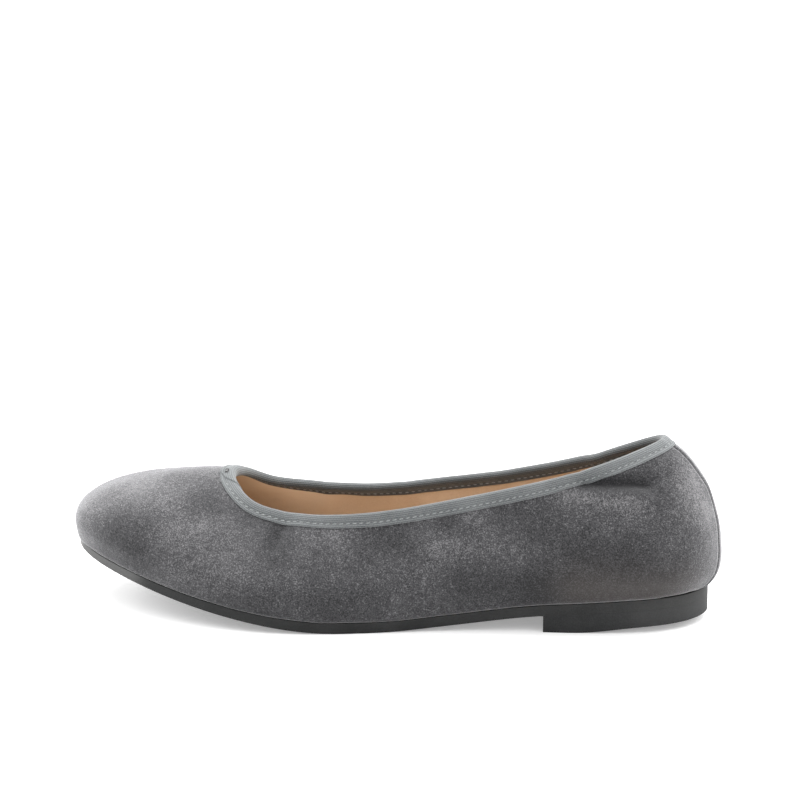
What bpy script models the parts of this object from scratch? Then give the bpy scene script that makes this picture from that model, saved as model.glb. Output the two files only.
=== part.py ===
"""A left ballet flat, as a maker puts it together: heel, outsole, insole, suede upper and topline tape.

Metres, +Z up. The toe points to -X and the outer side of the foot is at -Y. The shoe is drawn in its own
plan: s runs forward from the back of the upper, w runs out from the axis towards the outer side of the foot.
"""

from collections import namedtuple

import bmesh
import bpy
import numpy as np

MM = 0.001

# Driving sizes
SHOE_LENGTH = 252 * MM
BALL_WIDTH = 82 * MM
COLLAR_HEIGHT = 68.5 * MM
HEEL_HEIGHT = 6.3 * MM
TOE_SPRING = 22 * MM

# Materials as thick as they are cut
INSOLE_THICKNESS = 2.4 * MM
UPPER_WALL = 1.8 * MM
TAPE_THICKNESS = 0.6 * MM
GAP = 0.3 * MM

# The heel ends this far forward, in percent of the shoe's length
HEEL_BREAST = 25.8

# The wall stands this far in from the sole's edge, and the tape covers this much of its two sides
FOOT_INSET = 1.2 * MM
TAPE_OUTSIDE = 4.3 * MM
TAPE_INSIDE = 4.0 * MM

# How finely the faceted solids follow the curves
COLUMNS = 96
WALL_ROWS = 12
TAPE_ROWS = 2
SOLE_SLICES = 44

# One row for each section of the last, from the back of the heel round the outer side to the toe and back
# along the inner side. along and out: where the section meets the edge of the sole, in percent of the shoe's
# length and of the ball's width. rim_along, rim_out and rim_up: where it ends at the topline, the last in
# percent of the collar's height. foot_angle: how steeply the wall leaves the sole, in degrees up from level.
# rim_angle: how steeply it falls away from the rim. foot_hold and rim_hold: how long it holds each slope,
# in shares of the straight line from sole to rim.
Section = namedtuple(
    "Section", "name along out rim_along rim_out rim_up foot_angle foot_hold rim_angle rim_hold"
)
SECTIONS = (
    Section("heel_back", 1.7, 0.0, 8.8, 0.0, 100.0, 9, 0.23, 25, 0.42),
    Section("heel_corner_outer", 4.5, 18.5, 10.5, 10.5, 99.0, 28, 0.29, 36, 0.40),
    Section("heel_side_outer", 12.7, 30.5, 16.5, 20.5, 91.5, 54, 0.36, 58, 0.36),
    Section("seat_outer", 25.0, 34.5, 26.0, 26.5, 81.2, 58, 0.35, 66, 0.36),
    Section("waist_outer", 37.5, 38.0, 37.0, 29.5, 71.8, 60, 0.34, 70, 0.36),
    Section("shank_outer", 49.5, 45.5, 48.0, 31.0, 63.2, 60, 0.34, 66, 0.36),
    Section("joint_outer", 62.5, 53.0, 60.0, 30.0, 58.4, 60, 0.34, 55, 0.36),
    Section("ball_outer", 75.5, 49.5, 69.0, 23.5, 61.0, 60, 0.35, 40, 0.40),
    Section("toe_outer", 88.0, 36.0, 73.1, 14.0, 68.3, 57, 0.38, 19, 0.50),
    Section("toe_corner_outer", 96.3, 19.0, 74.5, 6.0, 72.7, 55, 0.35, 6, 0.56),
    Section("toe_tip", 99.1, -3.5, 74.2, -2.0, 73.7, 53, 0.34, 2, 0.58),
    Section("toe_corner_inner", 96.3, -24.0, 73.0, -10.0, 71.2, 55, 0.35, 6, 0.56),
    Section("toe_inner", 88.5, -38.5, 70.6, -18.0, 65.0, 57, 0.38, 21, 0.50),
    Section("ball_inner", 77.5, -45.5, 66.0, -25.5, 60.0, 60, 0.36, 38, 0.42),
    Section("joint_inner", 68.0, -45.5, 57.0, -29.5, 57.6, 60, 0.34, 56, 0.36),
    Section("shank_inner", 54.0, -38.0, 46.0, -30.5, 61.2, 58, 0.34, 66, 0.36),
    Section("waist_inner", 40.0, -31.5, 36.5, -28.5, 67.2, 56, 0.34, 70, 0.36),
    Section("seat_inner", 25.0, -32.0, 26.0, -25.5, 75.8, 56, 0.35, 66, 0.36),
    Section("heel_side_inner", 12.7, -29.5, 16.5, -20.0, 87.2, 54, 0.36, 58, 0.36),
    Section("heel_corner_inner", 4.3, -18.0, 9.7, -13.0, 97.6, 25, 0.28, 33, 0.41),
)

# The sole from the back to the toe. along: percent of the shoe's length. under: height of the outsole's
# underside in percent of the heel's height up to the tread, and of the toe spring beyond it. thick: the
# outsole's thickness in millimetres. heel_under: height of the heel's own underside in millimetres.
Profile = namedtuple("Profile", "name along rise spring thick heel_under")
PROFILES = (
    Profile("heel_back", 0, 145, 0, 4.0, 3.2),
    Profile("heel_middle", 12, 130, 0, 4.0, 2.1),
    Profile("heel_front", 21.2, 108, 0, 4.0, 0.0),
    Profile("heel_breast", 26, 96, 0, 4.0, 0.0),
    Profile("shank", 40, 32, 0, 4.0, 0.0),
    Profile("tread_back", 50, 0, 0, 4.0, 0.0),
    Profile("tread_front", 57, 0, 0, 4.0, 0.0),
    Profile("ball", 63, 0, 6, 4.0, 0.0),
    Profile("toe_roll", 70, 0, 18, 3.8, 0.0),
    Profile("toe_bend", 82, 0, 45, 3.5, 0.0),
    Profile("toe_tip", 100, 0, 100, 2.8, 0.0),
)


class ClosedSpline:
    """The smooth closed curve through a table's rows: a periodic cubic with a knot at each row."""

    def __init__(self, knots, values):
        self.knots = knots
        self.values = values
        gap = np.diff(knots)
        rise = (np.roll(values, -1, axis=0) - values) / gap[:, None]
        count = len(values)
        system = np.zeros((count, count))
        for i in range(count):
            system[i, i - 1] = gap[i - 1]
            system[i, i] = 2 * (gap[i - 1] + gap[i])
            system[i, (i + 1) % count] = gap[i]
        self.bend = np.linalg.solve(system, 6 * (rise - np.roll(rise, 1, axis=0)))

    def at(self, places):
        places = np.mod(places, self.knots[-1])
        i = np.clip(np.searchsorted(self.knots, places, side="right") - 1, 0, len(self.values) - 1)
        j = (i + 1) % len(self.values)
        gap = (self.knots[i + 1] - self.knots[i])[:, None]
        b = (places - self.knots[i])[:, None] / gap
        a = 1 - b
        sag = ((a**3 - a) * self.bend[i] + (b**3 - b) * self.bend[j]) * gap**2 / 6
        return a * self.values[i] + b * self.values[j] + sag


def section_spline():
    """The table in metres and radians, as one smooth curve round the shoe."""
    table = np.array([row[1:] for row in SECTIONS], float)
    length, width, height = SHOE_LENGTH / 100, BALL_WIDTH / 100, COLLAR_HEIGHT / 100
    degree = np.pi / 180
    values = table * np.array([length, width, length, width, height, degree, 1, degree, 1])
    steps = np.linalg.norm(np.roll(values[:, :2], -1, axis=0) - values[:, :2], axis=1)
    return ClosedSpline(np.concatenate([[0], np.cumsum(steps)]), values)


LAST = section_spline()


def stations(count):
    """Evenly spaced places round the shoe."""
    return np.arange(count) * LAST.knots[-1] / count


def outward(points):
    """The outward direction in plan at each point of a closed curve."""
    ahead = np.roll(points, -1, axis=0) - np.roll(points, 1, axis=0)
    left = np.stack([-ahead[:, 1], ahead[:, 0]], axis=1)
    return left / np.linalg.norm(left, axis=1)[:, None]


def along_sole(column, s):
    """A column of the profile table at a distance from the back: smooth between rows, never beyond them."""
    at = np.array([row.along for row in PROFILES]) * SHOE_LENGTH / 100
    value = np.array([getattr(row, column) for row in PROFILES], float)
    gap, climb = np.diff(at), np.diff(value) / np.diff(at)
    slope = np.concatenate([climb[:1], np.zeros(len(at) - 2), climb[-1:]])
    for k in range(1, len(at) - 1):
        if climb[k - 1] * climb[k] > 0:
            near, far = 2 * gap[k] + gap[k - 1], gap[k] + 2 * gap[k - 1]
            slope[k] = (near + far) / (near / climb[k - 1] + far / climb[k])
    k = np.clip(np.searchsorted(at, s, side="right") - 1, 0, len(gap) - 1)
    t = (s - at[k]) / gap[k]
    steady = (1 + 2 * t) * (1 - t) ** 2 * value[k] + t * t * (3 - 2 * t) * value[k + 1]
    return steady + (t * (1 - t) ** 2 * slope[k] - t * t * (1 - t) * slope[k + 1]) * gap[k]


def under_height(s):
    """Height of the outsole's underside: heel seat, shank, flat tread and toe spring."""
    return ((HEEL_HEIGHT + GAP) * along_sole("rise", s) + TOE_SPRING * along_sole("spring", s)) / 100


def top_height(s):
    """Height of the outsole's upper face."""
    return under_height(s) + along_sole("thick", s) * MM


def wall_surface(places, shares):
    """The outside of the upper: a column of points for each place, with a row for each share of the way from
    the sole (0) to the rim (1), and the unit normals there. A share below 0 is a distance down from the rim."""
    row = LAST.at(places)
    edge, rim_plan = row[:, :2], row[:, 2:4]
    edge_out, rim_out = outward(edge), outward(rim_plan)
    foot_plan = edge - edge_out * FOOT_INSET
    foot = np.column_stack([foot_plan, top_height(foot_plan[:, 0]) + GAP])
    rim = row[:, 2:5]
    reach = np.linalg.norm(rim - foot, axis=1)[:, None]
    foot_angle, foot_hold, rim_angle, rim_hold = row[:, 5:6], row[:, 6:7], row[:, 7:8], row[:, 8:9]
    rise = np.hstack([edge_out * np.cos(foot_angle), np.sin(foot_angle)])
    fall = np.hstack([rim_out * np.cos(rim_angle), -np.sin(rim_angle)])
    corners = [foot, foot + rise * foot_hold * reach, rim + fall * rim_hold * reach, rim]
    t = np.array(shares, float)[None, :, None]
    t = np.where(t < 0, 1 + t / (3 * rim_hold * reach)[:, :, None], t)
    weights = ((1 - t) ** 3, 3 * t * (1 - t) ** 2, 3 * t**2 * (1 - t), t**3)
    points = sum(weight * corner[:, None, :] for weight, corner in zip(weights, corners))
    weights = (3 * (1 - t) ** 2, 6 * t * (1 - t), 3 * t**2)
    climb = sum(w * (b - a)[:, None, :] for w, a, b in zip(weights, corners[:-1], corners[1:]))
    around = np.roll(points, -1, axis=0) - np.roll(points, 1, axis=0)
    normals = np.cross(climb, around)
    return points, normals / np.linalg.norm(normals, axis=2)[:, :, None]


def wall_inside(points, normals, depth):
    """The wall's surface moved in by depth, with its lowest row kept on the outsole."""
    inside = points - normals * depth
    lean = np.linalg.norm(normals[:, 0, :2], axis=1)[:, None]
    inside[:, 0, :2] = points[:, 0, :2] - normals[:, 0, :2] / lean**2 * depth
    inside[:, 0, 2] = top_height(inside[:, 0, 0]) + GAP
    return inside


def finished(name, shape):
    """A bmesh drawn in plan axes (s, w, z) becomes an object in the row's axes, with its faces out."""
    for vert in shape.verts:
        vert.co.x, vert.co.y = -vert.co.x, -vert.co.y
    bmesh.ops.recalc_face_normals(shape, faces=shape.faces)
    mesh = bpy.data.meshes.new(name)
    shape.to_mesh(mesh)
    shape.free()
    piece = bpy.data.objects.new(name, mesh)
    bpy.context.scene.collection.objects.link(piece)
    return piece


def hoop(name, loops):
    """A ring-shaped solid: each loop of points goes round the shoe and is joined to the next one, and the last
    to the first."""
    shape = bmesh.new()
    rings = [[shape.verts.new(point) for point in loop] for loop in loops]
    for ring, following in zip(rings, rings[1:] + rings[:1]):
        for i in range(len(ring)):
            shape.faces.new((ring[i - 1], ring[i], following[i], following[i - 1]))
    return finished(name, shape)


def two_sides(outline, slices):
    """The slices of a closed plan outline: for each share of the way from its back (0) to its front (1), the
    distance along and the inner and outer edge."""
    back, front = np.argmin(outline[:, 0]), np.argmax(outline[:, 0])
    along = outline[back, 0] + slices * (outline[front, 0] - outline[back, 0])
    run = np.roll(outline, -back, axis=0)
    turn = (front - back) % len(outline)
    outer = run[: turn + 1]
    inner = np.vstack([run[turn:], run[:1]])[::-1]
    return along, np.interp(along, *inner.T), np.interp(along, *outer.T)


def sheet(name, faces, slices, blunt=False):
    """A closed sheet between two plan outlines, each with a function for its height. Both are cut into
    slices, the first of which is a point at the back, and so is the last unless the sheet ends blunt."""
    shape = bmesh.new()
    layers = []
    for outline, height in faces:
        layer = []
        for s, inner, outer in zip(*two_sides(outline, slices)):
            ends = (inner, outer) if outer - inner > GAP else ((inner + outer) / 2,)
            layer.append([shape.verts.new((s, w, height(s))) for w in ends])
        layers.append(layer)
    low, high = layers
    for layer in layers:
        for a, b in zip(layer[:-1], layer[1:]):
            shape.faces.new([*a, *b[::-1]])
    for side in (0, -1):
        for i in range(len(slices) - 1):
            shape.faces.new((low[i][side], low[i + 1][side], high[i + 1][side], high[i][side]))
    if blunt:
        shape.faces.new((*low[-1], *high[-1][::-1]))
    return finished(name, shape)


def rounded_slices(count, front=1.0):
    """Shares from 0 to front, closer together where the outline turns at its ends."""
    shares = (1 - np.cos(np.linspace(0, np.pi, count + 1))) / 2
    if front == 1.0:
        return shares
    return np.append(shares[shares < front * 0.98], front)


def leather(name, colour, roughness):
    material = bpy.data.materials.new(name)
    material.use_nodes = True
    material.diffuse_color = (*colour, 1)
    shader = material.node_tree.nodes["Principled BSDF"]
    shader.inputs["Base Color"].default_value = (*colour, 1)
    shader.inputs["Roughness"].default_value = roughness
    return material


for old in list(bpy.data.objects):
    bpy.data.objects.remove(old)

# Outsole: one sheet to the edge of the shoe, with the seat, shank, tread and toe spring in its two faces.
fine = stations(720)
edge = LAST.at(fine)[:, :2]
outsole = sheet("outsole", [(edge, under_height), (edge, top_height)], rounded_slices(SOLE_SLICES))

# Heel: a low lift with the outsole's own outline, straight across at the breast.
breast = HEEL_BREAST / 100 * SHOE_LENGTH
back_edge = edge[:, 0].min()
seat = (breast - back_edge) / (edge[:, 0].max() - back_edge)
heel = sheet(
    "heel",
    [(edge, lambda s: along_sole("heel_under", s) * MM), (edge, lambda s: under_height(s) - GAP)],
    rounded_slices(SOLE_SLICES, seat),
    blunt=True,
)

# Upper: one wall from the sole's edge to the topline, open at the collar and underneath.
places = stations(COLUMNS)
shares = np.linspace(0, 1, WALL_ROWS + 1)
outside, normals = wall_surface(places, shares)
inside = wall_inside(outside, normals, UPPER_WALL)
upper = hoop("upper", [*outside.swapaxes(0, 1), *inside.swapaxes(0, 1)[::-1]])

# Insole: it stands on the outsole and fills the wall from side to side, so its edge leans as the wall does.
lean = np.linalg.norm(normals[:, 0, :2], axis=1)[:, None]
clear = normals[:, 0, :2] / lean**2 * GAP
insole_low = inside[:, 0, :2] - clear
insole_high = np.array([
    [np.interp(column[0, 2] + INSOLE_THICKNESS, column[:4, 2], column[:4, axis]) for axis in (0, 1)]
    for column in inside
]) - clear
insole = sheet(
    "insole",
    [
        (insole_low, lambda s: top_height(s) + GAP),
        (insole_high, lambda s: top_height(s) + GAP + INSOLE_THICKNESS),
    ],
    rounded_slices(SOLE_SLICES),
)

# Topline binding: a folded tape that rides over the rim, down the outside and down the lining.
binding_loops = []
rim, out = wall_surface(places, (1,))
rim, out = rim[:, 0], out[:, 0]
over = np.cross(np.roll(rim, -1, axis=0) - np.roll(rim, 1, axis=0), out)
over /= np.linalg.norm(over, axis=1)[:, None]
for skin, turn in ((GAP + TAPE_THICKNESS, 1), (GAP, -1)):
    legs = []
    for depth, shift in ((TAPE_OUTSIDE, skin), (TAPE_INSIDE, -UPPER_WALL - skin)):
        drops = [-depth * (1 - step / TAPE_ROWS) for step in range(TAPE_ROWS)]
        points, leg_out = wall_surface(places, drops)
        legs.append(list((points + leg_out * shift).swapaxes(0, 1)))
    middle, radius = rim - out * UPPER_WALL / 2, UPPER_WALL / 2 + skin
    fold = [middle + (out * np.cos(a) + over * np.sin(a)) * radius for a in np.linspace(0, np.pi, 5)]
    binding_loops += [*legs[0], *fold, *legs[1][::-1]][::turn]
binding = hoop("topline_binding", binding_loops)

pieces = (
    (outsole, "sole rubber", (0.045, 0.045, 0.048), 0.6),
    (heel, "heel rubber", (0.04, 0.04, 0.043), 0.6),
    (upper, "grey suede", (0.16, 0.15, 0.155), 0.9),
    (insole, "tan leather", (0.36, 0.20, 0.10), 0.6),
    (binding, "tape", (0.22, 0.24, 0.245), 0.8),
)
low_corner = np.full(3, np.inf)
high_corner = np.full(3, -np.inf)
for piece, material_name, colour, roughness in pieces:
    piece.data.materials.append(leather(material_name, colour, roughness))
    for polygon in piece.data.polygons:
        polygon.use_smooth = True
    corners = np.array([vert.co[:] for vert in piece.data.vertices])
    low_corner = np.minimum(low_corner, corners.min(axis=0))
    high_corner = np.maximum(high_corner, corners.max(axis=0))
shift = -(low_corner + high_corner) / 2
for piece, *rest in pieces:
    piece.location = (shift[0], shift[1], -low_corner[2])
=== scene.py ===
"""A left ballet flat in grey suede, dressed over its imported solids.

Metres, +Z up. The toe points to -X, the heel to +X, and the outer side of the foot is at -Y. After the
helpers and the studio, the sections go as the shoe is made: sole, heel, insole, lining, suede, topline tape
and its stitches.
"""

import math
from collections import namedtuple

import bmesh
import bpy
import numpy as np
from mathutils import Matrix, Vector, noise
from mathutils.bvhtree import BVHTree


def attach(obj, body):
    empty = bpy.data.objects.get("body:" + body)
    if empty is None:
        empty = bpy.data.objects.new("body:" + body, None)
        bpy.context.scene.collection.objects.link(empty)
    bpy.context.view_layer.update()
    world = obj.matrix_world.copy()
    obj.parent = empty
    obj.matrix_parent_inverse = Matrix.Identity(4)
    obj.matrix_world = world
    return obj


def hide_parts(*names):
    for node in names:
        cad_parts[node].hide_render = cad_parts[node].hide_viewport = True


MM = 0.001

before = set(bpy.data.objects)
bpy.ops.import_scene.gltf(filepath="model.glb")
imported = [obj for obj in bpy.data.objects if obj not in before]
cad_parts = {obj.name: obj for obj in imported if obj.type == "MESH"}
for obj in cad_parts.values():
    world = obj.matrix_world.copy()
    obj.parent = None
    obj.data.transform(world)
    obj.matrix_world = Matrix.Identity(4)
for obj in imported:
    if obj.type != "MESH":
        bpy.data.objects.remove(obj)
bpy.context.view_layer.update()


def placed(name, data):
    """An object with its data, linked into the scene."""
    made = bpy.data.objects.new(name, data)
    bpy.context.scene.collection.objects.link(made)
    return made


def mesh_of(name, shape):
    """A mesh made from a bmesh, which is freed."""
    mesh = bpy.data.meshes.new(name)
    shape.to_mesh(mesh)
    shape.free()
    return mesh


def piece_of(name, shape, finish):
    """A bmesh becomes a smooth-shaded object at the origin, riding on the shoe's one body."""
    mesh = mesh_of(name, shape)
    mesh.materials.append(finish)
    mesh.shade_smooth()
    piece = placed(name, mesh)
    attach(piece, "root")
    return piece


def thicken(piece, thickness):
    """Gives a skin its thickness, behind its face."""
    solid = piece.modifiers.new("thickness", "SOLIDIFY")
    solid.thickness = thickness
    solid.offset = -1


def node_shape(name):
    """A node's own mesh with its split corners merged and its triangles paired into four-sided faces."""
    shape = bmesh.new()
    shape.from_mesh(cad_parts[name].data)
    bmesh.ops.remove_doubles(shape, verts=shape.verts, dist=0.01 * MM)
    bmesh.ops.join_triangles(
        shape,
        faces=shape.faces,
        angle_face_threshold=math.radians(40),
        angle_shape_threshold=math.radians(180),
    )
    return shape


def crease_sharp(shape, angle):
    """Creases the edges sharper than an angle, so that they stay sharp when the shape is divided."""
    crease = shape.edges.layers.float.new("crease_edge")
    for edge in shape.edges:
        if edge.calc_face_angle(0) > angle:
            edge[crease] = 1


def subdivided(shape, levels):
    """The same surface with every face divided, and smoothed except along its creased edges."""
    draft = placed("draft", mesh_of("draft", shape))
    smooth = draft.modifiers.new("smooth", "SUBSURF")
    smooth.levels = smooth.render_levels = levels
    fine = bmesh.new()
    fine.from_object(draft, bpy.context.evaluated_depsgraph_get())
    bpy.data.objects.remove(draft)
    fine.normal_update()
    return fine


def places_of(shape):
    """The places of a shape's verts, in metres."""
    return np.array([vert.co[:] for vert in shape.verts])


def bell(distance, width):
    """1 at no distance, fading softly to 0."""
    return np.exp(-((distance / width) ** 2))


def felt(points, marks):
    """How strongly points feel each of some soft marks, as a row of values for each mark. A mark ends with
    its start, its end and how far it spreads, all in millimetres, and its strength."""
    rows = []
    for mark in marks:
        *_, start, end, width, strength = mark
        start, end = np.array(start) * MM, np.array(end) * MM
        run = end - start
        share = np.clip((points - start) @ run / max(run @ run, 1e-12), 0, 1)
        apart = np.linalg.norm(points - start - share[:, None] * run, axis=1)
        rows.append(strength * bell(apart, width * MM))
    return np.array(rows)


def store(shape, name, values):
    """Stores a value on each vert of a shape, for its material to read."""
    layer = shape.verts.layers.float.new(name)
    for vert, value in zip(shape.verts, values):
        vert[layer] = value


def new_finish(name, roughness, specular):
    """A material, its node tree and its Principled shader."""
    material = bpy.data.materials.new(name)
    material.use_nodes = True
    surface = material.node_tree.nodes["Principled BSDF"]
    surface.inputs["Roughness"].default_value = roughness
    surface.inputs["Specular IOR Level"].default_value = specular
    return material, material.node_tree, surface


def node(tree, kind, sockets=None, **settings):
    """A shader node with its settings, and its sockets given as values or as other nodes' outputs."""
    made = tree.nodes.new("ShaderNode" + kind)
    for setting, value in settings.items():
        setattr(made, setting, value)
    for socket, value in (sockets or {}).items():
        if isinstance(value, bpy.types.NodeSocket):
            tree.links.new(value, made.inputs[socket])
        else:
            made.inputs[socket].default_value = value
    return made


def object_place(tree):
    """The place on the shoe, in metres."""
    return node(tree, "TexCoord").outputs["Object"]


def stored(tree, name):
    """A value that store() put on the mesh."""
    return node(tree, "Attribute", attribute_name=name).outputs["Fac"]


def reckon(tree, operation, *values):
    """The result of a Math node."""
    return node(tree, "Math", dict(enumerate(values)), operation=operation).outputs[0]


def clouds(tree, place, scale, detail, roughness=0.5, distortion=0.0):
    """Noise from 0 to 1."""
    grain = {"Scale": scale, "Detail": detail, "Roughness": roughness, "Distortion": distortion}
    return node(tree, "TexNoise", {"Vector": place, **grain}).outputs["Fac"]


def stretched(tree, place, scale):
    """A place with its axes scaled."""
    return node(tree, "Mapping", {"Vector": place, "Scale": scale}).outputs["Vector"]


def blend(tree, share, first, second):
    """Two values mixed, with the second one's share."""
    return node(tree, "Mix", {0: share, 2: first, 3: second}).outputs[0]


def tinted(tree, share, colour, tint):
    """A colour mixed with a tint, with the tint's share."""
    return node(tree, "Mix", {0: share, 6: colour, 7: (*tint, 1)}, data_type="RGBA").outputs[2]


def ramp(tree, factor, low, high, *between):
    """Colours over a factor. Each stop is a position and a colour."""
    made = node(tree, "ValToRGB", {"Fac": factor})
    stops = made.color_ramp.elements
    for stop, (position, colour) in ((stops[0], low), (stops[1], high)):
        stop.position = position
        stop.color = (*colour, 1)
    for position, colour in between:
        stops.new(position).color = (*colour, 1)
    return made.outputs["Color"]


def surfaced(tree, surface, colour, relief, strength, depth):
    """Gives a shader its colour, and its relief with a strength and a depth in millimetres."""
    tree.links.new(colour, surface.inputs["Base Color"])
    bump = node(tree, "Bump", {"Strength": strength, "Distance": depth * MM, "Height": relief})
    tree.links.new(bump.outputs["Normal"], surface.inputs["Normal"])


# Studio: a white room, brightest overhead and behind the shoe, with a pale floor that is lit a little from
# below. One long soft box hangs over the shoe and smaller ones stand at its ends, so the nose and the heel
# catch more light than the side.
CAMERA_DIP = 13.35
CAMERA_TURN = 7.81

camera_lens = bpy.data.cameras.new("camera")
camera_lens.lens = 100.8
camera_lens.sensor_width = 36
camera = placed("camera", camera_lens)
camera.location = (0.1152, -0.819, 0.2773)
camera.rotation_euler = (math.radians(90 - CAMERA_DIP), 0, math.radians(CAMERA_TURN))
bpy.context.scene.camera = camera


def soft_box(name, place, aim, size, power):
    """A rectangular soft light at a place, turned towards a point."""
    lamp = bpy.data.lights.new(name, "AREA")
    lamp.shape = "RECTANGLE"
    lamp.size, lamp.size_y = size
    lamp.energy = power
    light = placed(name, lamp)
    light.location = place
    light.rotation_euler = (Vector(aim) - Vector(place)).to_track_quat("-Z", "Y").to_euler()


soft_box("overhead", (0.05, 0.3, 0.9), (0, 0, 0), (1.3, 0.7), 11)
soft_box("toe_side", (-0.9, 0.1, 0.5), (-0.05, 0, 0.03), (0.5, 0.5), 6)
soft_box("heel_side", (0.8, 0.35, 0.4), (0.1, 0, 0.03), (0.4, 0.5), 4)

room = bpy.data.worlds.new("white room")
room.use_nodes = True
background = room.node_tree.nodes["Background"]
background.inputs["Color"].default_value = (1, 1, 1, 1)
direction = node(room.node_tree, "TexCoord").outputs["Generated"]
upward = node(room.node_tree, "VectorMath", {0: direction, 1: (0, 0.4, 0.92)}, operation="DOT_PRODUCT")
brightness = {"Value": upward.outputs["Value"], "From Min": -0.6, "To Min": 0.3, "To Max": 2.1}
glow = node(room.node_tree, "MapRange", brightness)
room.node_tree.links.new(glow.outputs["Result"], background.inputs["Strength"])
bpy.context.scene.world = room
bpy.context.scene.view_settings.view_transform = "Standard"

floor_shape = bmesh.new()
bmesh.ops.create_grid(floor_shape, x_segments=1, y_segments=1, size=6)
floor = placed("floor", mesh_of("floor", floor_shape))
floor_finish, tree, surface = new_finish("pale floor", 0.9, 0.1)
surface.inputs["Base Color"].default_value = (0.75, 0.75, 0.75, 1)
surface.inputs["Emission Color"].default_value = (1, 1, 1, 1)
surface.inputs["Emission Strength"].default_value = 0.3
floor.data.materials.append(floor_finish)

# Outsole: a thin sheet of charcoal rubber, cut to the edge of the shoe and buffed, so its corners are a
# little round and its side is finely scoured.
SOLE_CORNER = 0.3 * MM
SHARP = math.radians(45)
# The grey of the sole's edge where it is scuffed and where a highlight is painted.
SCUFFED_AND_LIT_RUBBER = (0.17, 0.17, 0.168)

# The outsole and the heel lift are glued together behind the lift's front, and each reaches out this far.
LIFT_FRONT = 60 * MM
GLUE_REACH = 0.13 * MM

# Where the sole is greyer, partly scuffed and partly a painted highlight where the lamps catch its edge: at
# the toe's tip, along the toe's edge and faintly at the heel's side.
SCUFFS_AND_HIGHLIGHTS = (
    ((-122.5, 9, 24.5), (-121.5, -8, 23.5), 4, 0.9),
    ((-120, -12, 22.5), (-98, -28, 16.5), 6, 0.45),
    ((100, -25, 8), (119, -12, 8), 9, 0.12),
)


def soled(name, finish, joint):
    """A sole piece with its outline smoothed and its sharp corners rounded, but not where it is glued to the
    other sole piece. joint is 1 where that face looks up and -1 where it looks down."""
    shape = node_shape(name)
    crease_sharp(shape, SHARP)
    fine = subdivided(shape, 2)
    glued = {
        face
        for face in fine.faces
        if face.normal.z * joint > 0.7 and face.calc_center_median().x > LIFT_FRONT
    }
    for vert in {vert for face in glued for vert in face.verts}:
        vert.co.z += joint * GLUE_REACH
    for edge in {edge for face in glued for edge in face.edges}:
        edge.smooth = edge.calc_face_angle(0) < SHARP
    corners = [
        edge
        for edge in fine.edges
        if edge.calc_face_angle(0) > SHARP and not glued.intersection(edge.link_faces)
    ]
    bmesh.ops.bevel(
        fine,
        geom=corners,
        offset=SOLE_CORNER,
        segments=3,
        profile=0.5,
        affect="EDGES",
        material=-1,
        clamp_overlap=True,
    )
    # The grey on the sole's edge: scuffing and a painted highlight.
    store(fine, "rub", felt(places_of(fine), SCUFFS_AND_HIGHLIGHTS).max(axis=0))
    piece = piece_of(name + "_dressed", fine, finish)
    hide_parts(name)


def rubber(name, dark, light):
    """Matt charcoal rubber: fine pores and a faint lengthwise scouring. It is greyer where it is scuffed and
    where a highlight is painted on its edge.
    """
    finish, tree, surface = new_finish(name, 0.62, 0.22)
    place = object_place(tree)
    pores = clouds(tree, place, 2200, 2)
    tone = blend(tree, 0.45, clouds(tree, place, 55, 4, 0.6), pores)
    shades = ramp(tree, tone, (0.38, dark), (0.66, light))
    scouring = clouds(tree, stretched(tree, place, (1, 1, 9)), 260, 3)
    # Scuffing and painted highlight: the rubber is tinted grey where the stored mark is high.
    scuffed_and_lit = tinted(tree, stored(tree, "rub"), shades, SCUFFED_AND_LIT_RUBBER)
    surfaced(tree, surface, scuffed_and_lit, blend(tree, 0.5, scouring, pores), 0.5, 0.12)
    return finish


soled("outsole", rubber("outsole rubber", (0.0102, 0.0106, 0.0107), (0.0235, 0.0239, 0.0239)), -1)

# Heel: a low lift of the same charcoal rubber, glued under the seat.
soled("heel", rubber("heel rubber", (0.0102, 0.0106, 0.011), (0.0235, 0.0243, 0.0248)), 1)

# Insole: tan leather over a thin board, glued in last. A worn one is slightly pressed under the heel and
# the ball of the foot.
PRESSES = (
    ((80, 1, 8), (98, 1, 9), 17, 0.7),
    ((-48, 2, 8), (-30, 6, 8), 22, 0.5),
)
# The pale tan painted on the lining near the throat, standing in for light falling in through the opening.
PAINTED_LIGHT_LEATHER = (0.97, 0.83, 0.68)


def tan_leather(name, dark, light, grain):
    """Smooth tan leather: cloudy colour, fine grain and shallow wrinkles. It is paler where light is painted
    on it.
    """
    finish, tree, surface = new_finish(name, 0.55, 0.35)
    place = object_place(tree)
    cells = node(tree, "TexVoronoi", {"Vector": place, "Scale": grain}, feature="SMOOTH_F1")
    tone = blend(tree, 0.3, clouds(tree, place, 38, 5, 0.6, 0.5), clouds(tree, place, 1500, 3))
    shades = ramp(tree, tone, (0.33, dark), (0.68, light))
    wrinkles = clouds(tree, stretched(tree, place, (1.6, 1.6, 0.5)), 150, 3)
    # Painted light: the leather is mixed towards a pale tan where the stored mark is high.
    throat_lightened = tinted(tree, stored(tree, "painted_throat_light"), shades, PAINTED_LIGHT_LEATHER)
    surfaced(tree, surface, throat_lightened, blend(tree, 0.35, wrinkles, cells.outputs["Distance"]), 0.55, 0.25)
    return finish


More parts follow.
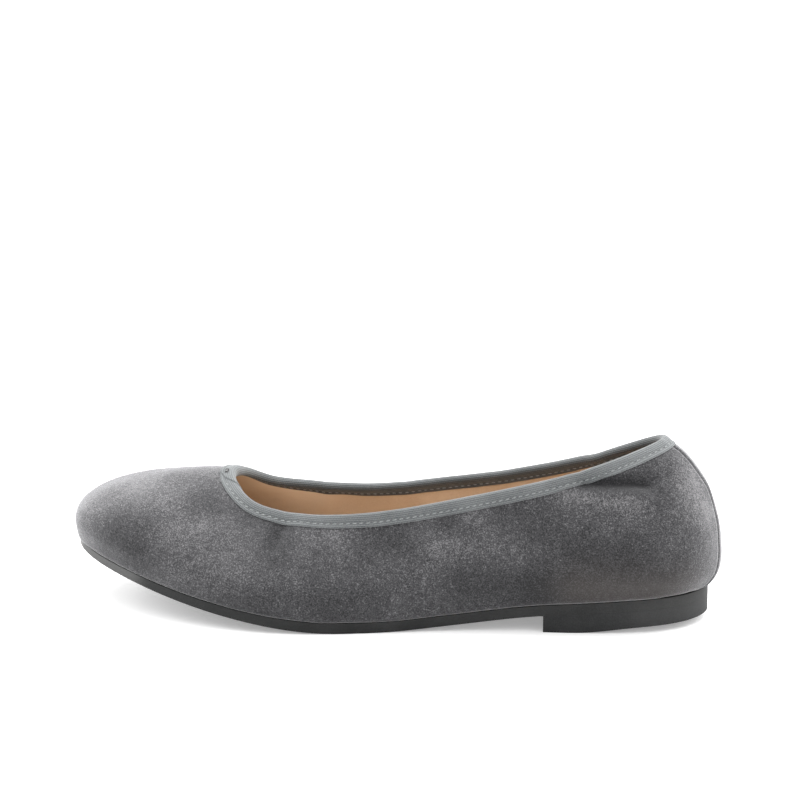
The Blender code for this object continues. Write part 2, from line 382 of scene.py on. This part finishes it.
insole_shape = node_shape("insole")
crease_sharp(insole_shape, math.radians(30))
long_edges = [edge for edge in insole_shape.edges if edge.calc_length() > 12 * MM]
bmesh.ops.subdivide_edges(insole_shape, edges=long_edges, cuts=7, use_grid_fill=True)
insole_shape = subdivided(insole_shape, 1)
pressed = felt(places_of(insole_shape), PRESSES).sum(axis=0) * MM
for vert, depth in zip(insole_shape.verts, pressed):
    if vert.normal.z > 0.5:
        vert.co.z -= depth
insole_leather = tan_leather("insole leather", (0.49, 0.345, 0.23), (0.63, 0.48, 0.355), 900)
insole = piece_of("insole_leather", insole_shape, insole_leather)
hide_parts("insole")

# Lining: tan leather inside the suede, from the insole up into the tape. It follows the suede's folds, and
# light is painted on it near the throat, where it is palest.
WALL_THICKNESS = 1.8 * MM
SUEDE_THICKNESS = 1.0 * MM
LINING_THICKNESS = 0.7 * MM
UNEVEN_RISE = 0.14 * MM
# Where painted light makes the lining paler near the throat.
LINING_PAINTED_LIGHT = (((-60, 6, 38), (-44, 20, 38), 19, 0.95),)

# The back seam runs down the outer side of the heel's middle: it starts here at the floor and leans in. The
# wall is divided this many millimetres to its sides, behind BACK_START, to give it a narrow groove.
BACK_SEAM_FOOT = Vector((0, -8.8 * MM, 0))
BACK_SEAM_SIDE = Vector((0, 1, -0.125)).normalized()
BACK_SEAM_CUTS = (-1.6, -0.8, -0.3, 0, 0.3, 0.8, 1.6)
BACK_START = 85 * MM

# Folds and hollows of the upper as it stands empty, each a soft mark on the wall from start to end.
# width: how far it spreads, and rise: how far it stands out of the wall, all in millimetres.
Fold = namedtuple("Fold", "name start end width rise")
FOLDS = (
    Fold("nose_swell", (-121, -8, 27), (-109, -5, 41), 8.5, 0.95),
    Fold("vamp_top_swell", (-86, 0, 48), (-71, 2, 49), 8.5, 1.35),
    Fold("inner_throat_swell", (-48, 14, 46), (-37, 20, 43), 6.0, 0.5),
    Fold("back_swell", (108, 1, 63), (115, 1, 52), 8.0, 0.9),
    Fold("back_middle_swell", (119, -4, 49), (123, -3, 41), 7.0, 0.6),
    Fold("seat_swell", (121, -2, 20), (121, 6, 20), 6.0, 0.5),
    Fold("gather_trough", (74, -19, 57), (97, -16, 56), 2.3, -2.1),
    Fold("gather_ridge", (68, -21, 52.5), (97, -18, 52), 2.6, 1.25),
    Fold("gather_hollow", (97, -15, 58), (104, -12, 57), 4.6, -1.4),
    Fold("behind_gather", (98, -18, 51), (107, -15, 50), 4.5, -0.35),
    Fold("below_gather", (78, -22, 47), (94, -21, 47), 4.5, -0.25),
    Fold("joint_pucker", (-38, -23, 38.5), (-41, -30, 30.5), 3.0, -1.1),
    Fold("joint_swell", (-31, -25, 36), (-26, -29, 31), 4.0, 0.55),
    Fold("arch_pucker", (-3, -26, 37), (6, -29, 31), 4.0, -1.0),
    Fold("arch_swell", (14, -28, 34), (24, -29, 31), 3.8, 0.65),
    Fold("waist_pucker", (24, -25, 40), (31, -25, 44), 3.0, -0.8),
    Fold("waist_swell", (31, -25, 41), (37, -24, 43), 3.2, 0.5),
    Fold("waist_hollow", (42, -24, 46), (62, -26, 39), 6.5, -0.8),
    Fold("waist_bulge", (40, -28, 31), (52, -28, 29), 6.0, 0.35),
    Fold("quarter_hollow", (76, -27, 33), (90, -25, 31), 6.5, -0.3),
    Fold("throat_dip", (-52, -19, 41), (-49, -23, 36), 4.0, -0.35),
    Fold("vamp_dip", (-97, -25, 33), (-90, -28, 27), 8.0, -0.35),
    Fold("vamp_swell", (-76, -29, 31), (-70, -28, 33), 7.0, 0.25),
    Fold("inner_gather_trough", (76, 21, 57), (96, 19, 56), 2.4, -1.0),
    Fold("inner_gather_ridge", (72, 24, 51), (97, 21, 51), 2.8, 0.6),
    Fold("inner_gather_hollow", (98, 17, 58), (104, 13, 58), 4.5, -0.8),
    Fold("inner_joint_pucker", (-30, 28, 37), (-33, 34, 30), 3.2, -0.6),
    Fold("inner_joint_swell", (-22, 29, 36), (-20, 34, 30), 4.0, 0.35),
    Fold("inner_arch_pucker", (2, 28, 37), (8, 30, 31), 4.0, -0.55),
    Fold("inner_waist_swell", (20, 27, 37), (28, 27, 33), 4.0, 0.4),
    Fold("inner_waist_hollow", (40, 26, 44), (58, 27, 39), 6.0, -0.45),
    Fold("inner_quarter_hollow", (76, 27, 34), (88, 26, 32), 6.5, -0.3),
)


def wall_surfaces(shape):
    """Cuts a shape along its sharp edges. Gives back its surfaces as lists of faces, the largest first."""
    sharp = [edge for edge in shape.edges if edge.calc_face_angle(0) > math.radians(50)]
    bmesh.ops.split_edges(shape, edges=sharp)
    left = set(shape.faces)
    found = []
    while left:
        spread = [left.pop()]
        for face in spread:
            beside = {other for edge in face.edges for other in edge.link_faces} & left
            left -= beside
            spread.extend(beside)
        found.append(spread)
    return sorted(found, key=lambda faces: -sum(face.calc_area() for face in faces))


def wall_face(rank):
    """One side of the upper's wall by rank: 0 is its outside and 1 its inside. Finely divided and folded."""
    shape = node_shape("upper")
    kept = set(wall_surfaces(shape)[rank])
    bmesh.ops.delete(shape, geom=[face for face in shape.faces if face not in kept], context="FACES")
    fine = subdivided(shape, 2)
    for cut in BACK_SEAM_CUTS:
        behind = [face for face in fine.faces if face.calc_center_median().x > BACK_START]
        around = {part for face in behind for part in (*face.verts, *face.edges)}
        bmesh.ops.bisect_plane(
            fine,
            geom=[*behind, *around],
            dist=0.02 * MM,
            plane_co=BACK_SEAM_FOOT + BACK_SEAM_SIDE * cut * MM,
            plane_no=BACK_SEAM_SIDE,
        )
    fine.normal_update()
    away = 1 if rank == 0 else -1
    normals = np.array([vert.normal[:] for vert in fine.verts])
    on_outside = places_of(fine) + rank * WALL_THICKNESS * away * normals
    rise = felt(on_outside, FOLDS).sum(axis=0) * MM
    for vert, height in zip(fine.verts, rise):
        uneven = UNEVEN_RISE * noise.noise(vert.co * 90)
        vert.co += vert.normal * away * (height + uneven)
    fine.normal_update()
    return fine


lining_shape = wall_face(1)
lining_tree = BVHTree.FromBMesh(lining_shape)
# Painted light on the lining near the throat.
store(lining_shape, "painted_throat_light", felt(places_of(lining_shape), LINING_PAINTED_LIGHT)[0])
lining_leather = tan_leather("lining leather", (0.47, 0.335, 0.225), (0.61, 0.475, 0.345), 1100)
lining = piece_of("lining", lining_shape, lining_leather)
thicken(lining, LINING_THICKNESS)
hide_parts("upper")

# Suede: the upper is one piece of grey suede, closed by a seam up the back and drawn in under the tape.
# Its nap lies in soft light and dark patches, and over them lies painted light: painted highlights on the
# nose, the ridges and the heel's back, and painted shade in the hollows, the troughs and towards the sole.
Shade = namedtuple("Shade", "name start end width tone")
# Light and shade painted into the nap's tone, with some of the nap's own patches: a positive tone is a
# painted highlight and a negative one is painted shade.
SHADES = (
    Shade("nose_top", (-112, -4, 42), (-66, 2, 51), 11, 0.45),
    Shade("nose_front", (-119, -8, 36), (-114, -14, 38), 6, 0.5),
    Shade("nose_streak", (-105, -12, 41), (-98, -8, 44), 5, 0.3),
    Shade("nose_hollow", (-100, -24, 34), (-90, -28, 30), 9, -0.48),
    Shade("nose_low", (-110, -20, 23), (-92, -31, 20), 8, -0.75),
    Shade("nose_light", (-83, -17, 42), (-79, -18, 42), 7, 0.2),
    Shade("throat_shade", (-72, -13, 45), (-66, -17, 43), 8, -0.55),
    Shade("vamp_light", (-83, -29, 31), (-72, -28, 34), 8, 0.55),
    Shade("vamp_shade", (-54, -19, 41), (-50, -21, 39), 6, -0.45),
    Shade("joint_shade", (-38, -23, 38), (-40, -32, 28), 5.5, -0.92),
    Shade("joint_light", (-30, -27, 34), (-18, -26, 36), 6, 0.35),
    Shade("arch_shade", (-1, -27, 36), (10, -29, 31), 8, -0.5),
    Shade("arch_light", (20, -28, 32), (27, -28, 32), 5, 0.6),
    Shade("waist_dark", (24, -25, 41), (30, -26, 39), 4, -0.45),
    Shade("waist_light", (32, -24, 44), (38, -24, 43), 5, 0.5),
    Shade("waist_shade", (46, -25, 44), (64, -26, 39), 9, -0.5),
    Shade("shank_light", (40, -28, 31), (50, -28, 29), 7, 0.25),
    Shade("quarter_shade", (76, -27, 32), (92, -26, 29), 9, -0.8),
    Shade("gather_shade", (74, -19, 56.5), (95, -17, 55.5), 2.9, -2.5),
    Shade("gather_light", (68, -21, 51.5), (96, -19, 50.5), 3.2, 0.8),
    Shade("hollow_shade", (94, -15, 58.5), (100, -13, 58), 3.6, -0.25),
    Shade("behind_shade", (98, -18, 52), (108, -14, 52), 5, -0.35),
    Shade("side_light", (88, -21, 49), (94, -20, 48), 5, 0.25),
    Shade("heel_highlight", (113, -10, 53), (118, -9, 45), 7.5, 1.05),
    Shade("heel_highlight_inner", (117, 8, 52), (122, 8, 24), 10, 0.6),
    Shade("low_vamp_light", (-66, -38, 15), (-55, -37, 20), 8, 0.25),
    Shade("low_joint_shade", (-70, -38, 9), (-24, -42, 9), 10, -0.6),
    Shade("low_waist_shade", (-10, -40, 8), (50, -30, 11), 9, -0.55),
    Shade("waist_low_shade", (34, -30, 20), (56, -29, 20), 9, -0.75),
    Shade("low_quarter_shade", (62, -28, 15), (106, -22, 18), 10, -1.2),
    Shade("middle_shade", (-36, -38, 22), (0, -35, 22), 10, -0.1),
    Shade("inner_low_shade", (-60, 38, 10), (85, 26, 15), 13, -0.5),
    Shade("inner_arch_shade", (0, 29, 36), (10, 31, 31), 8, -0.5),
    Shade("inner_waist_light", (26, 27, 36), (36, 26, 40), 7, 0.4),
    Shade("inner_quarter_shade", (76, 27, 32), (92, 26, 29), 9, -0.4),
    Shade("inner_joint_light", (-30, 32, 33), (-18, 31, 34), 7, 0.35),
    Shade("inner_nose_shade", (-96, 20, 34), (-88, 24, 31), 9, -0.35),
)

# Low on the quarters the suede is a little browner.
WARM_PATCHES = (
    ((74, -27, 17), (112, -20, 16), 10, 1),
    ((74, 27, 17), (112, 22, 16), 10, 1),
)

# At its foot the suede spreads over the sole's edge, and its lowest row is tucked in. In millimetres.
FLARE_HEIGHT = 5.5
FLARE_OUT = 1.1
FLARE_DOWN = 0.38
TUCK_HEIGHT = 0.4
TUCK_IN = 0.75

suede_shape = wall_face(0)
sole_shape = node_shape("outsole")
outsole_tree = BVHTree.FromBMesh(sole_shape)
sole_shape.free()
places = places_of(suede_shape)
above_sole = np.array([outsole_tree.find_nearest(vert.co)[3] for vert in suede_shape.verts]) / MM
flare = np.clip(1.06 - above_sole / FLARE_HEIGHT, 0, 1) ** 2
tuck = np.clip(1.9 - above_sole / TUCK_HEIGHT, 0, 1)
from_seam = np.abs((places - np.array(BACK_SEAM_FOOT)) @ np.array(BACK_SEAM_SIDE)) / MM
at_back = places[:, 0] > BACK_START
groove = at_back * (0.6 * bell(from_seam, 0.45) - 0.25 * bell(from_seam - 1.5, 0.9))
for i, vert in enumerate(suede_shape.verts):
    outwards = Vector((vert.normal.x, vert.normal.y, 0)).normalized()
    spread = outwards * (FLARE_OUT * flare[i] - TUCK_IN * tuck[i])
    vert.co += (spread - Vector((0, 0, FLARE_DOWN * flare[i]))) * MM
    vert.co -= vert.normal * groove[i] * MM
# The nap's patches, with painted highlights and painted shade.
store(suede_shape, "nap_and_painted_light", felt(places, SHADES).sum(axis=0))
# Painted shade along the back seam's groove.
store(suede_shape, "seam", at_back * bell(from_seam, 0.4))
store(suede_shape, "warmth", felt(places, WARM_PATCHES).sum(axis=0))
# How far above the sole each vert is, for the painted shadow along the suede's foot.
store(suede_shape, "above_sole", above_sole)
suede_shape.normal_update()
suede_tree = BVHTree.FromBMesh(suede_shape)


def edge_walk(shape):
    """The verts of a wall's upper edge in order round the collar, from the throat along the outer side."""
    left = {edge for edge in shape.edges if edge.is_boundary}
    walks = []
    while left:
        edge = left.pop()
        walk = [edge.verts[0], edge.verts[1]]
        while walk[-1] is not walk[0]:
            step = next(edge for edge in walk[-1].link_edges if edge in left)
            left.remove(step)
            walk.append(step.other_vert(walk[-1]))
        walks.append(walk[:-1])
    rim = max(walks, key=lambda walk: sum(vert.co.z for vert in walk) / len(walk))
    throat = min(range(len(rim)), key=lambda i: rim[i].co.x)
    rim = rim[throat:] + rim[:throat]
    return rim if rim[8].co.y < rim[-8].co.y else [rim[0], *rim[:0:-1]]


rim = edge_walk(suede_shape)
rim_points = np.array([vert.co[:] for vert in rim])
rim_normals = np.array([vert.normal[:] for vert in rim])

# The nap's mottling, from broad clouds to fibres: how fine it is, its detail and how strong it is.
SUEDE_MOTTLES = ((26, 2, 0.12), (75, 3, 0.19), (420, 2, 0.23), (1150, 2, 0.4), (2300, 2, 0.9))


def grey_suede():
    """Grey suede: a short nap that lies light or dark, mottled finely, with painted shade in its back seam's
    groove and a painted shadow along its foot above the sole.
    """
    finish, tree, surface = new_finish("grey suede", 0.95, 0.15)
    surface.inputs["Sheen Weight"].default_value = 0.55
    surface.inputs["Sheen Roughness"].default_value = 0.45
    surface.inputs["Sheen Tint"].default_value = (0.93, 0.93, 0.95, 1)
    place = object_place(tree)
    # The nap's tone, with painted highlights and painted shade.
    tone = reckon(tree, "MULTIPLY_ADD", stored(tree, "nap_and_painted_light"), 0.18, 0.485)
    for scale, detail, amount in SUEDE_MOTTLES:
        centred = reckon(tree, "SUBTRACT", clouds(tree, place, scale, detail, 0.55), 0.5)
        tone = reckon(tree, "MULTIPLY_ADD", centred, amount, tone)
    dark, middle, light = (0.014, 0.014, 0.0148), (0.054, 0.0535, 0.0563), (0.2, 0.196, 0.201)
    shades = ramp(tree, tone, (0.2, dark), (0.85, light), (0.5, middle))
    warmth = reckon(tree, "MULTIPLY", stored(tree, "warmth"), 0.35)
    browned = tinted(tree, warmth, shades, (0.075, 0.064, 0.058))
    # Painted shade in the back seam and a painted shadow along the foot, mixed towards near black.
    seam = reckon(tree, "MULTIPLY", stored(tree, "seam"), 0.75)
    fading = {"From Min": 0.5, "From Max": 1.1, "To Min": 0.85, "To Max": 0}
    foot = node(tree, "MapRange", {"Value": stored(tree, "above_sole"), **fading}).outputs["Result"]
    shadow = reckon(tree, "MAXIMUM", seam, foot)
    shadowed = tinted(tree, shadow, browned, (0.02, 0.02, 0.02))
    relief = blend(tree, 0.5, clouds(tree, place, 620, 3, 0.6), clouds(tree, place, 2600, 3, 0.6))
    surfaced(tree, surface, shadowed, relief, 0.8, 0.3)
    return finish


upper = piece_of("suede_upper", suede_shape, grey_suede())
thicken(upper, SUEDE_THICKNESS)
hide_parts("upper")

# Topline tape: one strip of ribbed knit tape folded over the rim round an elastic and sewn down through the
# wall. Its two ends overlap at the throat, and the upper one is cut on a slant. Distances along it start at
# the throat and go along the outer side. In millimetres: where the under end starts, where the upper end
# stops on the outside, how much further it runs on the lining, and how long it climbs onto the under end.
TAPE_STEP = 0.5 * MM
TAPE_THICKNESS = 0.3 * MM
UNDER_END = -6.0
OVER_END = 0.5
SLANT = 20.4
CLIMB = 5.0
OVERLAP_LIFT = 0.36 * MM

# The tape is lighter at the throat and over the heel's top, partly by wear and partly as a painted highlight,
# and painted shade makes it darker inside the shoe.
TAPE_WEAR_AND_HIGHLIGHTS = (
    ((-62, -7, 48), (-57, 5, 50), 9, 0.72),
    ((96, -16, 62), (118, 0, 69), 10, 0.7),
)
INSIDE_PAINTED_SHADE = 0.8

# The tape's section: down the outside, over the rim and down the lining. depth: millimetres down from the
# rim. height: how far the tape's face stands off the wall.
OUTER_LEG = (
    (4.3, 0.2), (4.2, 0.42), (3.9, 0.52), (3.5, 0.52), (3.1, 0.46), (2.85, 0.34), (2.65, 0.28), (2.45, 0.36),
    (2.1, 0.58), (1.6, 0.76), (1.0, 0.86), (0.5, 0.9), (0.0, 0.9),
)
INNER_LEG = (
    (0.0, 1.05), (0.6, 0.98), (1.2, 0.85), (1.8, 0.64), (2.3, 0.44), (2.6, 0.36), (2.9, 0.44), (3.3, 0.52),
    (3.8, 0.5), (4.0, 0.28),
)
OVER_RIM_ANGLES = np.radians(np.linspace(0, 180, 10)[1:-1])
OVER_RIM_HEIGHT = 1.4 * MM


def smooth_round(values, reach):
    """Averages a closed row of values with their neighbours, by a bell as wide as reach rows."""
    shifts = range(-3 * reach, 3 * reach + 1)
    weights = [math.exp(-((shift / reach) ** 2) / 2) for shift in shifts]
    total = sum(weight * np.roll(values, shift, axis=0) for weight, shift in zip(weights, shifts))
    return total / sum(weights)


def evened(table):
    """A table with a row for each point of the rim, taken at even steps and freed from its corners."""
    columns = [np.interp(travels, along, np.append(column, column[0])) for column in table.T]
    return smooth_round(np.column_stack(columns), 3)


def unit(vectors):
    """Vectors with their length made 1."""
    return vectors / np.linalg.norm(vectors, axis=-1)[..., None]


def facing(grid):
    """The direction square to a grid of points at each of them, where the grid closes round the collar."""
    around = np.roll(grid, -1, axis=0) - np.roll(grid, 1, axis=0)
    return unit(np.cross(around, np.gradient(grid, axis=1)))


closed_rim = np.vstack([rim_points, rim_points[:1]])
along = np.concatenate([[0], np.cumsum(np.linalg.norm(np.diff(closed_rim, axis=0), axis=1))])
length = along[-1]
count = int(length / TAPE_STEP)
pace = length / count
travels = np.linspace(0, length, count, endpoint=False)
rim_points, rim_normals = evened(rim_points), evened(rim_normals)
forward = unit(np.roll(rim_points, -1, axis=0) - np.roll(rim_points, 1, axis=0))
rim_normals = unit(rim_normals - forward * (rim_normals * forward).sum(axis=1)[:, None])
downward = unit(np.cross(rim_normals, forward))
downward *= -np.sign(downward[:, 2].sum())


def leg(tree, start, rows, sign, reach):
    """One leg of the tape as points round the collar for each row: laid on a wall, then lifted off it. reach
    is how deep it comes at each step round the collar, as a share of the rows' depths."""
    base = np.zeros((count, len(rows), 3))
    for j, (depth, height) in enumerate(rows):
        for i, point in enumerate(start + downward * (reach * depth * MM)[:, None]):
            base[i, j] = tree.find_nearest(point)[0]
    base = smooth_round(base, 2)
    out = facing(base)
    out *= np.where((out * rim_normals[:, None]).sum(axis=2) > 0, sign, -sign)[:, :, None]
    return base + out * np.array([height for depth, height in rows])[None, :, None] * MM


# Inside, on the far side, the tape comes deeper at the throat's bend and less deep beyond it.
to_throat = travels[-1] - travels
inner_reach = 1 + 0.6 * bell(to_throat - 3 * MM, 6 * MM) - 0.3 * bell(to_throat - 18 * MM, 10 * MM)
outer_leg = leg(suede_tree, rim_points, OUTER_LEG, 1, np.ones(count))
inner_leg = leg(lining_tree, rim_points - rim_normals * WALL_THICKNESS, INNER_LEG, -1, inner_reach)
hub = (outer_leg[:, -1] + inner_leg[:, 0]) / 2
arm = (outer_leg[:, -1] - inner_leg[:, 0]) / 2
over_rim = hub[:, None] + arm[:, None] * np.cos(OVER_RIM_ANGLES)[None, :, None]
over_rim -= downward[:, None] * (OVER_RIM_HEIGHT * np.sin(OVER_RIM_ANGLES))[None, :, None]
rows = np.concatenate([outer_leg, over_rim, inner_leg], axis=1)
across = np.concatenate([[0], np.cumsum(np.median(np.linalg.norm(np.diff(rows, axis=1), axis=2), axis=0))])
face_out = facing(rows)
face_out *= np.where((face_out[:, :1] * rim_normals[:, None]).sum(axis=2) > 0, 1, -1)[:, :, None]


def on_tape(travel, row):
    """A point on the tape's face, its outward direction and the tape's own direction, at a distance from the
    throat and a row of the section, where the distance may fall between two steps."""
    step = travel / pace
    i, part = math.floor(step), step - math.floor(step)
    point = rows[i % count, row] * (1 - part) + rows[(i + 1) % count, row] * part
    out = face_out[i % count, row] * (1 - part) + face_out[(i + 1) % count, row] * part
    return point, unit(out), forward[int(round(step)) % count]


tape_shape = bmesh.new()
weave = tape_shape.loops.layers.uv.new("weave")
strip_steps = count + int((OVER_END + SLANT - UNDER_END) * MM / pace)
bmesh.ops.create_grid(tape_shape, x_segments=strip_steps, y_segments=len(across) - 1, size=0.5)
tape_spots = []
for vert in tape_shape.verts:
    lengthwise, row = vert.co.x + 0.5, round((vert.co.y + 0.5) * (len(across) - 1))
    start = UNDER_END * MM
    end = length + (OVER_END + SLANT * across[row] / across[-1]) * MM
    travel = start + (end - start) * lengthwise
    point, out, ahead = on_tape(travel, row)
    climbed = np.clip((travel - length - (UNDER_END - CLIMB) * MM) / (CLIMB * MM), 0, 1)
    to_end = np.clip((end - travel) / (0.5 * MM), 0, 1)
    roundness = 0.25 + 0.75 * math.sqrt(1 - (1 - to_end) ** 2)
    vert.co = point + out * OVERLAP_LIFT * climbed * climbed * (3 - 2 * climbed) * roundness
    tape_spots.append((travel, across[row]))
tape_shape.verts.index_update()
for face in tape_shape.faces:
    for loop in face.loops:
        loop[weave].uv = tape_spots[loop.vert.index]
# Painted shade on the inner leg past the rim, and wear with a painted highlight at the throat and over the
# heel's top.
past_rim = np.array([side for travel, side in tape_spots]) - across[len(OUTER_LEG) + 3]
worn_and_lit = felt(places_of(tape_shape), TAPE_WEAR_AND_HIGHLIGHTS).sum(axis=0)
store(tape_shape, "wear_and_painted_light", worn_and_lit - INSIDE_PAINTED_SHADE * np.clip(past_rim / (2 * MM), 0, 1))
bmesh.ops.recalc_face_normals(tape_shape, faces=tape_shape.faces)
tape_shape.normal_update()

# The strip is open, so all its faces may have been turned inwards: one on the outer side tells.
sample = next(face for face in tape_shape.faces if face.calc_center_median().y < -20 * MM)
if sample.normal.y > 0 and sample.calc_center_median().z < 0.05:
    bmesh.ops.reverse_faces(tape_shape, faces=tape_shape.faces)


def knit_tape():
    """Ribbed knit tape: ribs along it, loops across them, a little fuzz. It is lighter where it is worn and
    where a highlight is painted, and darker where shade is painted inside.
    """
    finish, tree, surface = new_finish("knit tape", 0.8, 0.3)
    surface.inputs["Sheen Weight"].default_value = 0.25
    surface.inputs["Sheen Roughness"].default_value = 0.4
    weave_place = node(tree, "SeparateXYZ", {"Vector": node(tree, "UVMap", uv_map="weave").outputs["UV"]})

    def wave(axis, period):
        turned = reckon(tree, "MULTIPLY", weave_place.outputs[axis], 2 * math.pi / (period * MM))
        return reckon(tree, "SINE", turned)

    rib_width, loop_length = 0.7, 1.0
    loops = reckon(tree, "MULTIPLY", wave("X", loop_length), wave("Y", 2 * rib_width))
    yarn = reckon(tree, "MULTIPLY_ADD", loops, 0.45, wave("Y", rib_width))
    place = object_place(tree)
    fuzz = clouds(tree, place, 1800, 3)
    tone = reckon(tree, "MULTIPLY_ADD", yarn, 0.13, 0.13)
    # The stored wear and painted highlight lighten the tape's tone, and its painted shade darkens it inside.
    for part, amount in ((fuzz, 0.35), (clouds(tree, place, 60, 3), 0.35), (stored(tree, "wear_and_painted_light"), 0.25)):
        tone = reckon(tree, "MULTIPLY_ADD", part, amount, tone)
    shades = ramp(tree, tone, (0.25, (0.052, 0.0565, 0.058)), (0.75, (0.185, 0.195, 0.198)))
    surfaced(tree, surface, shades, reckon(tree, "MULTIPLY_ADD", fuzz, 0.8, yarn), 0.7, 0.09)
    return finish


tape = piece_of("topline_tape", tape_shape, knit_tape())
thicken(tape, TAPE_THICKNESS)
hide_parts("topline_binding")

# Stitches: one row of lockstitch goes through tape, suede and lining all round, and a small bar tack at the
# throat holds the tape's ends. The thread is a shade lighter than the tape. On the lining the row starts
# further on, past the slanted end. Each row: the tape's row, its start, a stitch's size and how it is turned.
STITCH_PITCH = 2.5 * MM
STITCH_START = 7 * MM
STITCH_REST = 16 * MM
OUTER_ROW = [depth for depth, height in OUTER_LEG].index(2.65)
INNER_ROW = rows.shape[1] - len(INNER_LEG) + 5
STITCH_ROWS = (
    (OUTER_ROW, STITCH_START, (1.75, 0.42, 0.36), 0.12),
    (INNER_ROW, STITCH_START + 12 * MM, (1.5, 0.32, 0.28), -0.1),
)
TACK_PADS = 7


def stitch(shape, point, out, ahead, size, turn):
    """One stitch: a short pad of thread laid along the tape, sunk at both ends."""
    lead = unit(ahead * math.cos(turn) + np.cross(out, ahead) * math.sin(turn))
    axes = Matrix([lead, np.cross(out, lead), out]).transposed().to_4x4()
    axes.translation = Vector(point)
    made = bmesh.ops.create_uvsphere(shape, u_segments=10, v_segments=6, radius=1)["verts"]
    bmesh.ops.scale(shape, vec=[side * MM / 2 for side in size], verts=made)
    bmesh.ops.transform(shape, matrix=axes, verts=made)


thread_shape = bmesh.new()
stitch_count = int((length - STITCH_REST) / STITCH_PITCH)
for k in range(stitch_count):
    for row, start, size, turn in STITCH_ROWS:
        point, out, ahead = on_tape(start + k * (length - STITCH_REST) / stitch_count, row)
        stitch(thread_shape, point + out * 0.12 * MM, out, ahead, size, turn)

thread, tree, surface = new_finish("grey thread", 0.6, 0.4)
twist = clouds(tree, object_place(tree), 2500, 2)
shades = ramp(tree, twist, (0.3, (0.17, 0.178, 0.18)), (0.7, (0.34, 0.35, 0.35)))
surfaced(tree, surface, shades, twist, 0.5, 0.08)
stitches = piece_of("topline_stitches", thread_shape, thread)

tack_shape = bmesh.new()
for k in range(TACK_PADS):
    point, out, ahead = on_tape((0.3 * k - 0.3) * MM, OUTER_ROW + 3)
    stitch(tack_shape, point + out * 0.52 * MM, out, ahead, (1.9, 0.3, 0.4), (-1) ** k * 1.2)
dark_thread, tree, surface = new_finish("dark thread", 0.7, 0.3)
twist = clouds(tree, object_place(tree), 1900, 2)
shades = ramp(tree, twist, (0.45, (0.02, 0.021, 0.022)), (0.72, (0.5, 0.5, 0.5)))
tree.links.new(shades, surface.inputs["Base Color"])
tack = piece_of("bar_tack", tack_shape, dark_thread)
